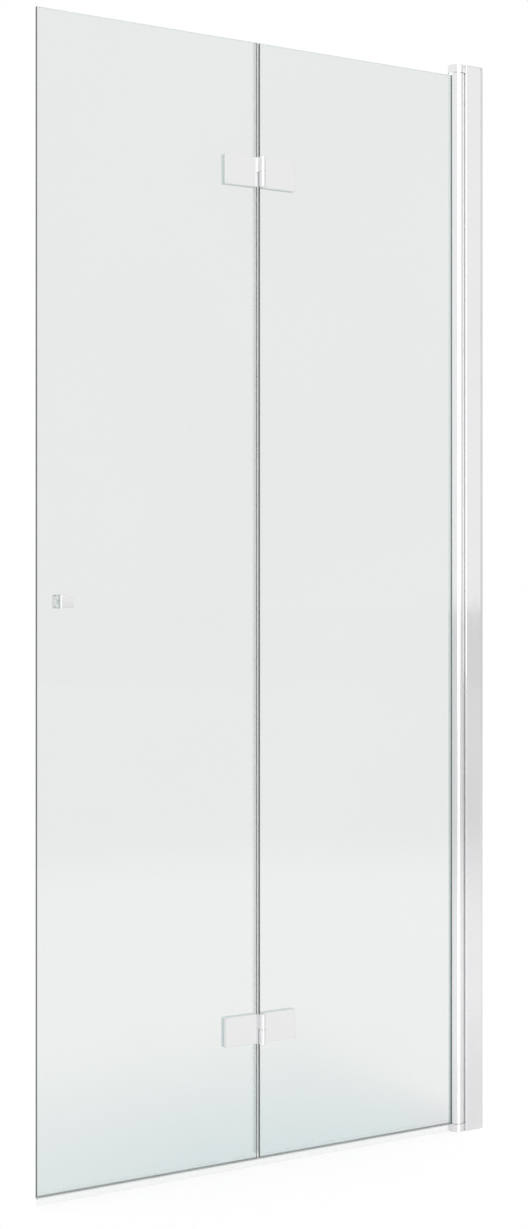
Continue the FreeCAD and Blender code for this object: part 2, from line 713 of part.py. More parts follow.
def make_hinge_half(prefix, height, sign):
    """One half of a glass hinge, built on the free leaf's side of the pin, then turned if need be."""
    about_y = Vector(0, 1, 0)
    turn = 0 if sign == "-" else HALF_TURN
    at = (PIN_X, "0", height, about_y, turn)
    half_height = "sizes.hinge_height / 2"
    screw_x = "-sizes.hinge_screw_setback"
    screw_z = "sizes.hinge_screw_spacing / 2"
    centres = [(screw_x, f"-{screw_z}"), (screw_x, screw_z)]

    leaf = new_body(f"{prefix}_leaf", *at)
    plate = new_sketch(leaf, "XZ_Plane", PLATE_INNER)
    rectangle(plate, "-sizes.hinge_reach", "-sizes.knuckle_setback", f"-{half_height}", half_height)
    pad(leaf, plate, "sizes.hinge_plate_thickness")
    dress(leaf, "Fillet", "Radius", "sizes.hinge_edge_radius", "Y", [f"-{PLATE_OUTER}"])
    radius = "sizes.knuckle_diameter / 2"
    split = "sizes.knuckle_gap / 2"
    barrel = new_sketch(leaf, "XY_Plane", split)
    circle(barrel, "0", f"-{PIN_Y}", radius)
    pad(leaf, barrel, f"{half_height} - {split}")
    neck = new_sketch(leaf, "XY_Plane", split)
    root = "-(sizes.knuckle_setback + sizes.neck_root)"
    shoulder = f"sizes.hinge_edge_radius - {PLATE_OUTER}"
    front, rear = "sizes.neck_front_angle", "sizes.neck_back_angle"
    neck_corners = [
        (root, shoulder),
        ("-sizes.knuckle_setback", shoulder),
        (f"-{radius} * sin({front})", f"-{PIN_Y} + {radius} * cos({front})"),
        ("0", f"-{PIN_Y}"),
        (f"-{radius} * sin({rear})", f"-{PIN_Y} + {radius} * cos({rear})"),
        ("-sizes.knuckle_setback", f"-{PLATE_INNER}"),
        (root, f"-{PLATE_INNER}"),
    ]
    polygon(neck, neck_corners)
    pad(leaf, neck, f"{half_height} - {split}")
    pin_bore = new_sketch(leaf, "XY_Plane", split)
    pin_seat = "sizes.hinge_pin_diameter / 2" if turn else HINGE_BUSH_RADIUS
    circle(pin_bore, "0", f"-{PIN_Y}", f"{pin_seat} + sizes.seat_clearance")
    pocket(leaf, pin_bore, f"{KNUCKLE_BORE_END} - {split}", along_normal=True)
    threads = new_sketch(leaf, "XZ_Plane", PLATE_INNER)
    for x, z in centres:
        circle(threads, x, z, "sizes.hinge_screw_diameter / 2 + sizes.seat_clearance")
    pocket(leaf, threads, "sizes.hinge_plate_thickness - sizes.hinge_screw_end_wall", along_normal=True)
    keep(leaf, f"{prefix}_leaf")

    back = new_body(f"{prefix}_back_plate", *at)
    plate = new_sketch(back, "XZ_Plane", f"-{PLATE_OUTER}")
    rectangle(plate, "-sizes.hinge_reach", "-sizes.knuckle_setback", f"-{half_height}", half_height)
    pad(back, plate, "sizes.hinge_plate_thickness")
    dress(back, "Fillet", "Radius", "sizes.hinge_edge_radius", "Y", [PLATE_OUTER])
    hole = "(sizes.hinge_screw_diameter + 2 * sizes.seat_clearance)"
    sink = "(sizes.hinge_screw_head_diameter + 2 * sizes.seat_clearance)"
    depth = "sizes.hinge_plate_thickness"
    countersunk_holes(back, "XZ_Plane", f"-{PLATE_OUTER}", centres, hole, sink, depth, True)
    keep(back, f"{prefix}_back_plate")

    inset = "sizes.hinge_gasket_inset"
    edge = (f"-sizes.hinge_reach + {inset}", f"-sizes.knuckle_setback - {inset}")
    ends = (f"-{half_height} + {inset}", f"{half_height} - {inset}")
    through = "(sizes.hinge_screw_diameter + sizes.screw_clearance) / 2"
    front_gasket = new_body(f"{prefix}_front_gasket", *at)
    sheet_outline = new_sketch(front_gasket, "XZ_Plane", GASKET_FACE)
    rectangle(sheet_outline, *edge, *ends)
    pad(front_gasket, sheet_outline, "sizes.hinge_gasket_thickness")
    collars = new_sketch(front_gasket, "XZ_Plane", f"-{HALF_GLASS}")
    for x, z in centres:
        circle(collars, x, z, "sizes.glass_hole_diameter / 2 - sizes.collar_clearance")
    pad(front_gasket, collars, f"{HALF_GLASS} + {GASKET_FACE}")
    bores = new_sketch(front_gasket, "XZ_Plane", f"-{HALF_GLASS}")
    for x, z in centres:
        circle(bores, x, z, through)
    pocket(front_gasket, bores, f"{HALF_GLASS} + {PLATE_INNER}", along_normal=True)
    keep(front_gasket, f"{prefix}_front_gasket")

    back_gasket = new_body(f"{prefix}_back_gasket", *at)
    sheet_outline = new_sketch(back_gasket, "XZ_Plane", f"-{PLATE_INNER}")
    rectangle(sheet_outline, *edge, *ends)
    pad(back_gasket, sheet_outline, "sizes.hinge_gasket_thickness")
    bores = new_sketch(back_gasket, "XZ_Plane", f"-{PLATE_INNER}")
    for x, z in centres:
        circle(bores, x, z, through)
    pocket(back_gasket, bores, "sizes.hinge_gasket_thickness", along_normal=True)
    keep(back_gasket, f"{prefix}_back_gasket")

    screws = []
    length = f"({PLATE_OUTER} + {PLATE_OUTER} - sizes.hinge_screw_end_wall - sizes.screw_clearance)"
    for number, step in enumerate(("-", "+"), 1):
        place_at = (
            f"{PIN_X} {sign} sizes.hinge_screw_setback",
            PLATE_OUTER,
            f"{height} {step} sizes.hinge_screw_spacing / 2",
        )
        screws.append(
            countersunk_screw(
                f"{prefix}_screw_{number}",
                "sizes.hinge_screw_diameter",
                "sizes.hinge_screw_head_diameter",
                length,
                place_at,
                Vector(1, 0, 0),
                QUARTER_TURN,
            )
        )
    group(f"{prefix}_screws", screws)


def make_hinge_pin(end, height):
    """Pin held in the wall-side knuckle, and the flanged bush that turns on it."""
    radius, tip = "sizes.hinge_pin_diameter / 2", "sizes.screw_tip_chamfer"
    reach = f"({KNUCKLE_BORE_END} - sizes.screw_clearance)"
    pin = new_body(f"{end}_hinge_pin", PIN_X, f"-{PIN_Y}", height)
    corners = [
        ("0", f"-{reach}"),
        (f"{radius} - {tip}", f"-{reach}"),
        (radius, f"-{reach} + {tip}"),
        (radius, f"{reach} - {tip}"),
        (f"{radius} - {tip}", reach),
        ("0", reach),
    ]
    revolve(pin, corners)
    keep(pin, f"{end}_hinge_pin")
    bush = new_body(f"{end}_hinge_bush", PIN_X, f"-{PIN_Y}", height)
    bore = f"({radius} + sizes.running_clearance)"
    flange = "(sizes.knuckle_diameter / 2 - sizes.hinge_bush_flange_inset)"
    split = "(sizes.knuckle_gap / 2)"
    underside = f"sizes.thrust_clearance - {split}"
    corners = [
        (bore, underside),
        (flange, underside),
        (flange, split),
        (HINGE_BUSH_RADIUS, split),
        (HINGE_BUSH_RADIUS, reach),
        (bore, reach),
    ]
    revolve(bush, corners)
    keep(bush, f"{end}_hinge_bush")


def make_knob(side, turn):
    """Square knob on a round neck, with its washer against the glass."""
    at = (KNOB_X, "0", "sizes.knob_height", Vector(0, 0, 1), turn)
    washer = new_body(f"knob_{side}_washer", *at)
    ring = new_sketch(washer, "XZ_Plane", GASKET_FACE)
    circle(ring, "0", "0", "sizes.knob_washer_diameter / 2")
    circle(ring, "0", "0", "(sizes.knob_stud_diameter + sizes.screw_clearance) / 2")
    pad(washer, ring, "sizes.knob_washer_thickness")
    keep(washer, f"knob_{side}_washer")

    knob = new_body(f"knob_{side}", *at)
    half = "sizes.knob_size / 2"
    head_back = f"({KNOB_SEAT} + sizes.knob_neck_length)"
    head = new_sketch(knob, "XZ_Plane", head_back)
    rectangle(head, f"-{half}", half, f"-{half}", half)
    pad(knob, head, "sizes.knob_depth")
    levels = [f"-{head_back} - sizes.knob_depth"]
    dress(knob, "Fillet", "Radius", "sizes.knob_edge_radius", "Y", levels)
    neck = new_sketch(knob, "XZ_Plane", KNOB_SEAT)
    circle(neck, "0", "0", "sizes.knob_neck_diameter / 2")
    pad(knob, neck, "sizes.knob_neck_length")
    thread = new_sketch(knob, "XZ_Plane", KNOB_SEAT)
    circle(thread, "0", "0", "sizes.knob_stud_diameter / 2 + sizes.seat_clearance")
    pocket(knob, thread, "sizes.knob_stud_seat", along_normal=True)
    keep(knob, f"knob_{side}")


def make_knob_stud():
    """Threaded stud through the glass that joins the two knobs."""
    body = new_body("knob_stud", KNOB_X, "0", "sizes.knob_height")
    reach = f"({KNOB_SEAT} + sizes.knob_stud_seat - sizes.screw_clearance)"
    section = new_sketch(body, "XZ_Plane", f"-{reach}")
    circle(section, "0", "0", "sizes.knob_stud_diameter / 2")
    pad(body, section, f"2 * {reach}")
    dress(body, "Chamfer", "Size", "sizes.screw_tip_chamfer", "Y", [reach, f"-{reach}"])
    keep(body, "knob_stud")


def make_drip_seal(label, left, right):
    """Clear strip that grips the glass's lower edge, with an upright fin and a slanted lip."""
    body = new_body(label)
    section = new_sketch(body, "YZ_Plane", left)
    wall = "sizes.seal_wall"
    seat = f"({GLASS_BOTTOM} - sizes.seal_clearance)"
    base = f"({seat} - {wall})"
    leg_top = f"{GLASS_BOTTOM} + sizes.seal_leg"
    fin_foot = "sizes.drip_floor_gap"
    lip_foot = f"{base} - sizes.drip_lip_drop"
    corners = [
        (f"-{SEAL_OUTER}", leg_top),
        (f"-{SEAL_OUTER}", base),
        (f"-{wall} / 2", base),
        (f"-{wall} / 2", fin_foot),
        (f"{wall} / 2", fin_foot),
        (f"{wall} / 2", base),
        (SEAL_INNER, base),
        (f"{SEAL_INNER} + sizes.drip_lip_reach", lip_foot),
        (f"{SEAL_OUTER} + sizes.drip_lip_reach", lip_foot),
        (SEAL_OUTER, base),
        (SEAL_OUTER, leg_top),
        (SEAL_INNER, leg_top),
        (SEAL_INNER, seat),
        (f"-{SEAL_INNER}", seat),
        (f"-{SEAL_INNER}", leg_top),
    ]
    polygon(section, corners)
    pad(body, section, f"({right}) - ({left})")
    keep(body, label)


def make_middle_seal(label, bottom, top):
    """Length of clear strip on the free leaf's hinge edge, with a lip towards the other leaf."""
    body = new_body(label)
    section = new_sketch(body, "XY_Plane", bottom)
    wall = "sizes.seal_wall"
    seat = f"({FREE_INNER_X} + sizes.seal_clearance)"
    back = f"({seat} + {wall})"
    leg_end = f"{FREE_INNER_X} - sizes.edge_seal_leg"
    lip = f"{WALL_LEAF_X} - sizes.seal_end_gap"
    tip = "sizes.edge_seal_tip / 2"
    corners = [
        (leg_end, f"-{SEAL_OUTER}"),
        (back, f"-{SEAL_OUTER}"),
        (back, f"-{wall}"),
        (lip, f"-{tip}"),
        (lip, tip),
        (back, wall),
        (back, SEAL_OUTER),
        (leg_end, SEAL_OUTER),
        (leg_end, SEAL_INNER),
        (seat, SEAL_INNER),
        (seat, f"-{SEAL_INNER}"),
        (leg_end, f"-{SEAL_INNER}"),
    ]
    polygon(section, corners)
    pad(body, section, f"({top}) - ({bottom})")
    keep(body, label)


def make_seals():
    """Drip seals under both leaves and the three lengths of seal between the hinges."""
    tube_side = f"{TUBE_X} - {TUBE_RADIUS} - sizes.drip_tube_gap"
    make_drip_seal("free_drip_seal", FREE_EDGE_X, f"{WALL_LEAF_X} - sizes.seal_end_gap")
    make_drip_seal("wall_side_drip_seal", f"{WALL_LEAF_X} + sizes.seal_end_gap", tube_side)
    gap = "(sizes.hinge_height / 2 + sizes.seal_end_gap)"
    foot = f"{GLASS_BOTTOM} + sizes.seal_leg + sizes.seal_end_gap"
    make_middle_seal("middle_seal_bottom", foot, f"{LOWER_HINGE_Z} - {gap}")
    make_middle_seal("middle_seal_centre", f"{LOWER_HINGE_Z} + {gap}", f"{UPPER_HINGE_Z} - {gap}")
    make_middle_seal("middle_seal_top", f"{UPPER_HINGE_Z} + {gap}", GLASS_TOP)


def check_and_write():
    """Stop on any failed feature, empty cut or bad solid, then write one file for each node."""
    for thing in doc.Objects:
        if "Invalid" in thing.State or "Error" in thing.State:
            raise RuntimeError(f"{thing.Label} failed: {thing.State}")
        if thing.TypeId == "PartDesign::Pocket" and thing.Shape.Volume >= thing.BaseFeature.Shape.Volume:
            raise RuntimeError(f"{thing.Label} cuts nothing")
    for label, thing in nodes.items():
        if thing.Label != label:
            raise RuntimeError(f"{label} came out as {thing.Label}")
        if thing.Shape.isNull() or not thing.Shape.isValid():
            raise RuntimeError(f"{label} has no valid shape")
    os.makedirs("parts", exist_ok=True)
    for label, thing in nodes.items():
        thing.Shape.exportStep(f"parts/{label}.step")
        print(label, len(thing.Shape.Solids), round(thing.Shape.Volume, 1))


make_wall_channel()
make_adjusting_screws()
make_post_profile()
make_post_top_cover()
make_pivot_end("lower", "0", 0, "0", pegs=False)
make_pivot_end("upper", "sizes.screen_height", HALF_TURN, "sizes.cover_thickness", pegs=True)
make_pivot_tube()
make_tube_gasket()
make_glass("wall_side_glass", WALL_LEAF_X, WALL_GLASS_END_X, hinge_hole_centres("+"))
free_holes = hinge_hole_centres("-") + [(KNOB_X, "sizes.knob_height")]
make_glass("free_glass", FREE_EDGE_X, FREE_INNER_X, free_holes)
for hinge, hinge_height in (("upper", UPPER_HINGE_Z), ("lower", LOWER_HINGE_Z)):
    make_hinge_half(f"{hinge}_free_hinge", hinge_height, "-")
    make_hinge_half(f"{hinge}_wall_hinge", hinge_height, "+")
    make_hinge_pin(hinge, hinge_height)
make_knob("front", 0)
make_knob("back", HALF_TURN)
make_knob_stud()
make_seals()
doc.recompute()
check_and_write()
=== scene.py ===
import json
import math

import bpy
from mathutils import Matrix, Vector


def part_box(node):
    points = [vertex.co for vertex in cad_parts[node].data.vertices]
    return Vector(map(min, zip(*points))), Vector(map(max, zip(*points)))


# Looks of a folding shower screen: clear glass leaves, chrome hinges and knob, bright post and tube.
# Metres, +Z up, in the part's own frame. The screen's front faces -Y and its wall is at +X.
# Colours are linear RGB. A span is a pair of ends, and a noise is a pair of scale and detail.

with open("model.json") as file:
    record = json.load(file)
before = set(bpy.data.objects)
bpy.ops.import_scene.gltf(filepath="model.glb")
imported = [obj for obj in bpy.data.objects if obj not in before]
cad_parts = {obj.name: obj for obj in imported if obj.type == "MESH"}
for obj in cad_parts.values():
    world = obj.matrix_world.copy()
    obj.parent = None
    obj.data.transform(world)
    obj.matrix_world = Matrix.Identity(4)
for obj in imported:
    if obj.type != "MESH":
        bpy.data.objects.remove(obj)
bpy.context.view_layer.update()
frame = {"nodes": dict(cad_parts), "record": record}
nodes = frame["nodes"]

WHITE = (1.0, 1.0, 1.0)
UNIT = (0.0, 1.0)
FALLING = (1.0, 0.0)

# The range that holds most of a noise, and stretches of its pattern: the upright one draws lines along Z
NOISE_MIDDLE = (0.3, 0.7)
EVEN = (1.0, 1.0, 1.0)
UPRIGHT = (1.0, 1.0, 0.03)

# Sockets of the Mix node, which holds one set for numbers and one for colours
MIX_FACTOR = 0
MIX_FIRST_NUMBER = 2
MIX_SECOND_NUMBER = 3
MIX_NUMBER_RESULT = 0
MIX_FIRST_COLOUR = 6
MIX_SECOND_COLOUR = 7
MIX_COLOUR_RESULT = 2

# The photograph's view, solved from the screen's own straight lines; PHOTO lengths are in its pixels
PHOTO_LONG_SIDE = 1229
PHOTO_FOCAL_LENGTH = 1823
PHOTO_HORIZON_RISE = 34.6
SENSOR_WIDTH = 36.0
CAMERA_PLACE = Vector((-2.0573, -2.8011, 1.0341))
CAMERA_LOOK = Vector((0.49351, 0.86974, 0.0))
CAMERA_NEAR = 0.05
CAMERA_FAR = 300.0

GLASS_INDEX = 1.5
GLASS_TINT_NOISE = (2.2, 2.0)
GLASS_CLEAR_TONES = ((0.790, 0.8075, 0.799), (0.803, 0.8205, 0.812))
# Painted shade near the glass's foot: its darker, greener tones and where along X they change
GLASS_FOOT_PAINTED_SHADE_TONES = ((0.6585, 0.7236, 0.7246), (0.688, 0.714, 0.7246))
GLASS_FOOT_PAINTED_SHADE_X = (-0.19, -0.11)
GLASS_EDGE_FACING = (0.6, 0.97)
GLASS_LEVEL_FACING = (0.3, 0.6)
GLASS_MIDDLE_Z = (0.9, 1.1)
# Lower edges keep a dark tone; upper edges carry a painted highlight and a painted glow
GLASS_LOWER_EDGE_TONE = (0.22, 0.27, 0.26)
GLASS_UPPER_EDGE_PAINTED_LIGHT = (0.76, 0.83, 0.815)
GLASS_UPPER_EDGE_PAINTED_GLOW = 0.28
GLASS_EDGE_TRANSMISSION = 0.08
GLASS_EDGE_ROUGHNESS = 0.40
GLASS_MARK_NOISE = (38.0, 5.0)
GLASS_MARK_RANGE = (0.55, 0.8)
GLASS_MARK_ROUGHNESS = (0.0, 0.012)
GLASS_SHADOW_TONE = (0.86, 0.90, 0.885)
FREE_GLASS_SIDE_TONE = (0.055, 0.07, 0.065)
# The free leaf's painted shade at the foot: its ends along X, and a strength and a height at each end
FREE_GLASS_FOOT_SHADE_X = (-0.9, -0.6)
FREE_GLASS_FOOT_SHADE_STRENGTH = (0.78, 1.0)
FREE_GLASS_FOOT_SHADE_HEIGHT = (0.305, 0.305)
WALL_GLASS_SIDE_TONE = (0.125, 0.17, 0.157)
# The wall-side leaf's painted shade at the foot: its ends along X, and a strength and a height at each end
WALL_GLASS_FOOT_SHADE_X = (-0.40, -0.08)
WALL_GLASS_FOOT_SHADE_STRENGTH = (1.0, 1.0)
WALL_GLASS_FOOT_SHADE_HEIGHT = (0.305, 0.086)

SMEAR_NOISE = (22.0, 4.0)
GRAIN_NOISE = (90.0, 5.0)
WAVE_NOISE = (140.0, 3.0)
FINE_WAVE = 0.000001
COARSE_WAVE = 0.00001
CHROME_TONE = (0.825, 0.825, 0.835)
CHROME_VARIATION = 0.01
CHROME_ROUGHNESS = (0.03, 0.06)
ALUMINIUM_VARIATION = 0.012
ALUMINIUM_ROUGHNESS = (0.04, 0.08)
SATIN_TONE = (0.66, 0.66, 0.665)
SATIN_LOW_TONE = (0.80, 0.80, 0.805)
SATIN_VARIATION = 0.03
SATIN_ROUGHNESS = (0.30, 0.42)
LOW_TONE_Z = (0.4, 0.8)
STEEL_TONE = (0.66, 0.67, 0.68)
STEEL_VARIATION = 0.05
STEEL_ROUGHNESS = (0.16, 0.30)
COVER_TONE = (0.755, 0.755, 0.765)
COVER_ROUGHNESS = (0.05, 0.10)

# Painted reflection on the knob's face, painted highlight on its rounded edges, painted shade on its sides
# near the glass
KNOB_FACE_PAINTED_REFLECTION_TONES = ((0.755, 0.755, 0.765), (0.815, 0.815, 0.825))
KNOB_FILLET_HIGHLIGHT_FACING = (0.93, 0.99)
KNOB_FILLET_PAINTED_HIGHLIGHT = (0.90, 0.90, 0.91)
KNOB_SIDE_SHADE_FACING = (0.1, 0.4)
KNOB_SIDE_PAINTED_SHADE = (0.44, 0.48, 0.48)
KNOB_SIDE_SHADE_Y = (-0.020, -0.012)
# Painted glow on the back knob's seat towards the glass
KNOB_SEAT_LIT_FACING = (-0.9, -0.5)
KNOB_SEAT_LIT_X = (-0.8572, -0.8552)
KNOB_SEAT_PAINTED_GLOW = (0.34, 0.0)

# Painted shade on the rounded free end of the free hinge leaves
HINGE_END_PAINTED_SHADE = (0.52, 0.55, 0.55)
HINGE_END_SHADE_FACING = (0.4, 0.8)
HINGE_END_SHADE_NEAR = 0.0006
HINGE_END_SHADE_FAR = 0.0009

# Painted light and shade on the clear vinyl by height: pale near the floor, a painted dark band just under
# the glass, painted pale on its faces, painted grey shade above.
# Tones and covers are pairs of height and colour, or height and share of the light that it stops.
VINYL_FOOT = 0.030
VINYL_PALE = (0.88, 0.92, 0.92)
VINYL_PAINTED_SHADE = (0.08, 0.12, 0.11)
VINYL_PAINTED_GREY_SHADE = (0.48, 0.52, 0.52)
VINYL_PAINTED_LIGHT_AND_SHADE = (
    (0.0116, VINYL_PALE),
    (0.0128, VINYL_PAINTED_SHADE),
    (0.0160, VINYL_PAINTED_SHADE),
    (0.0185, VINYL_PALE),
    (0.0240, VINYL_PALE),
    (0.0270, VINYL_PAINTED_GREY_SHADE),
)
VINYL_COVERS = (
    (0.0116, 0.10),
    (0.0128, 0.22),
    (0.0152, 0.17),
    (0.0185, 0.04),
    (0.0240, 0.04),
    (0.0270, 0.11),
)
VINYL_CLOUD_NOISE = (14.0, 3.0)
VINYL_CLOUD_STRETCH = (1.0, 1.0, 0.2)
VINYL_CLOUD_COVER = (0.92, 1.08)
VINYL_ROUGHNESS = (0.16, 0.22)

MOTTLE_NOISE = (180.0, 4.0)
MOULDED_NOISE = (420.0, 3.0)
RUBBER_ROUGHNESS = (0.45, 0.6)
RUBBER_TONES = ((0.66, 0.74, 0.75), (0.72, 0.80, 0.81))
# Painted glow of the milky rubber, though it is no lamp
RUBBER_PAINTED_GLOW = 0.47
PLASTIC_TONES = ((0.84, 0.84, 0.82), (0.88, 0.88, 0.86))
PLASTIC_ROUGHNESS = (0.32, 0.45)

# Painted shade at the strip's front lip; painted light and glow on its back part, darker towards the floor
STRIP_FRONT_PAINTED_SHADE = (0.02, 0.055, 0.048)
STRIP_REAR_PAINTED_TONES = ((0.44, 0.54, 0.52), (0.76, 0.85, 0.83))
STRIP_REAR_PAINTED_TONES_Z = (0.1, 1.1)
STRIP_DEPTH_Y = (-0.003, 0.003)
STRIP_MOTTLE = 0.12
STRIP_TOP_LIT_Z = (1.979, 1.981)
STRIP_PAINTED_GLOW = (0.01, 0.68)

# The floor's look in mirrors goes by rings round its centre, a painted pool of light with painted shadow
# close in: pairs of distance and level
FLOOR_CENTRE = (0.3, 0.0, 0.0)
FLOOR_RADIUS = 60.0
FLOOR_CORNERS = 128
FLOOR_RING_REACH = 5.0
FLOOR_MIRROR_PAINTED_RINGS = (
    (0.26, 0.388),
    (0.70, 0.440),
    (0.92, 0.476),
    (1.62, 0.466),
    (2.27, 0.45),
    (3.10, 0.373),
    (4.22, 0.277),
)
FLOOR_GLOW = 0.742
# Painted pool of light on the floor near the screen, seen only through the glass
FLOOR_PAINTED_GLOW_THROUGH_GLASS = (0.042, 0.0)
FLOOR_PAINTED_GLOW_REACH = (2.6, 3.9)
FLOOR_SEEN_LEVEL = 0.4
FLOOR_LIGHT_LEVEL = 0.8
FLOOR_SHEEN_LEVEL = 0.25
FLOOR_SHEEN_ROUGHNESS = 0.05

WORLD_MIRROR_SIDE = (0.68, 0.88)
WORLD_MIRROR_LEVELS = (1.0, 0.80)
WORLD_LIGHT_LEVEL = 0.66
WORLD_SEEN_LEVEL = 1.0

SOFTBOX_PLACE = (0.3, -14.0, 3.1)
SOFTBOX_TARGET = (0.3, 0.0, 3.1)
SOFTBOX_WIDTH = 9.0
SOFTBOX_HEIGHT = 6.1
SOFTBOX_RADIANCE = 2.0


def grey(level):
    return (level, level, level)


def make_camera():
    """Level camera at the photograph's place, with the frame shifted down to its horizon."""
    data = bpy.data.cameras.new("camera")
    data.sensor_width = SENSOR_WIDTH
    data.lens = SENSOR_WIDTH * PHOTO_FOCAL_LENGTH / PHOTO_LONG_SIDE
    data.shift_y = -PHOTO_HORIZON_RISE / PHOTO_LONG_SIDE
    data.clip_start = CAMERA_NEAR
    data.clip_end = CAMERA_FAR
    camera = bpy.data.objects.new("camera", data)
    camera.location = CAMERA_PLACE
    camera.rotation_euler = CAMERA_LOOK.to_track_quat("-Z", "Y").to_euler()
    bpy.context.scene.collection.objects.link(camera)
    bpy.context.scene.camera = camera


class Tree:
    """Short ways to add and join the nodes of a material or a world."""

    def __init__(self, owner):
        owner.use_nodes = True
        self.nodes = owner.node_tree.nodes
        self.links = owner.node_tree.links

    def feed(self, socket, source):
        """Join a socket to another node's output, or set its plain value."""
        if isinstance(source, bpy.types.NodeSocket):
            self.links.new(source, socket)
        elif socket.type == "RGBA":
            socket.default_value = (*source, 1.0)
        else:
            socket.default_value = source

    def add(self, kind, sources, **settings):
        """Add a node; sources feed its sockets, by name or number."""
        node = self.nodes.new(kind)
        for name, setting in settings.items():
            setattr(node, name, setting)
        for socket, source in sources.items():
            self.feed(node.inputs[socket], source)
        return node

    def place(self, kind):
        """Point or normal of the surface, by the kind's name in Blender."""
        return self.add("ShaderNodeTexCoord", {}).outputs[kind]

    def axes(self, kind):
        """X, Y and Z of a point or normal."""
        parts = self.add("ShaderNodeSeparateXYZ", {"Vector": self.place(kind)})
        return parts.outputs["X"], parts.outputs["Y"], parts.outputs["Z"]

    def rays(self):
        """What kind of ray sees the surface, by name."""
        return self.add("ShaderNodeLightPath", {}).outputs

    def math(self, operation, *sources, clamp=False):
        """Result of a sum, product or other operation on numbers."""
        node = self.add("ShaderNodeMath", dict(enumerate(sources)), operation=operation, use_clamp=clamp)
        return node.outputs[0]

    def noise(self, pattern, stretch=EVEN):
        """Noise on the piece, in its own frame."""
        scale, detail = pattern
        point = self.add("ShaderNodeMapping", {"Vector": self.place("Object"), "Scale": stretch})
        sources = {"Vector": point.outputs["Vector"], "Scale": scale, "Detail": detail}
        return self.add("ShaderNodeTexNoise", sources).outputs["Fac"]

    def spread(self, source, span, to=UNIT, curve="LINEAR"):
        """Carry a span over to another one, held at both ends."""
        sources = {
            "Value": source,
            "From Min": span[0],
            "From Max": span[1],
            "To Min": to[0],
            "To Max": to[1],
        }
        return self.add("ShaderNodeMapRange", sources, interpolation_type=curve).outputs["Result"]

    def tones(self, factor, first, second):
        """Mix of two colours."""
        sources = {MIX_FACTOR: factor, MIX_FIRST_COLOUR: first, MIX_SECOND_COLOUR: second}
        return self.add("ShaderNodeMix", sources, data_type="RGBA").outputs[MIX_COLOUR_RESULT]

    def levels(self, factor, first, second):
        """Mix of two numbers."""
        sources = {MIX_FACTOR: factor, MIX_FIRST_NUMBER: first, MIX_SECOND_NUMBER: second}
        return self.add("ShaderNodeMix", sources, data_type="FLOAT").outputs[MIX_NUMBER_RESULT]

    def ramp(self, source, reach, stops):
        """Colours along a distance, given as pairs of distance and colour."""
        node = self.add("ShaderNodeValToRGB", {"Fac": self.spread(source, (0.0, reach))})
        elements = node.color_ramp.elements
        while len(elements) < len(stops):
            elements.new(1.0)
        for element, (distance, colour) in zip(elements, stops):
            element.position = distance / reach
            element.color = (*colour, 1.0)
        return node.outputs["Color"]

    def level_ramp(self, source, reach, stops):
        """Numbers along a distance, given as pairs of distance and number."""
        return self.ramp(source, reach, [(distance, grey(level)) for distance, level in stops])


class Finish(Tree):
    """The nodes of one material, round its main shader."""

    def __init__(self, name):
        self.material = bpy.data.materials.new(name)
        super().__init__(self.material)
        self.shader = self.nodes["Principled BSDF"]

    def shade(self, sources):
        """Feed sockets of the main shader, by name."""
        for name, source in sources.items():
            self.feed(self.shader.inputs[name], source)

    def smear(self, tone, variation):
        """A tone that goes a little darker in soft patches."""
        darker = tuple(part - variation for part in tone)
        return self.tones(self.spread(self.noise(SMEAR_NOISE), NOISE_MIDDLE), darker, tone)

    def texture(self, pattern, levels, stretch=EVEN):
        """A number that varies between two levels over the surface."""
        return self.spread(self.noise(pattern, stretch), NOISE_MIDDLE, levels)

    def bump(self, height, depth):
        """Normal of a surface that a height raises by up to a depth."""
        node = self.add("ShaderNodeBump", {"Strength": 1.0, "Distance": depth, "Height": height})
        return node.outputs["Normal"]

    def diffuse(self, level):
        return self.add("ShaderNodeBsdfDiffuse", {"Color": grey(level)}).outputs[0]

    def mix_shaders(self, factor, first, second):
        return self.add("ShaderNodeMixShader", {0: factor, 1: first, 2: second}).outputs[0]

    def add_shaders(self, first, second):
        return self.add("ShaderNodeAddShader", {0: first, 1: second}).outputs[0]

    def show(self, shader):
        """Make a shader the material's surface, in place of the main one."""
        self.feed(self.nodes["Material Output"].inputs["Surface"], shader)


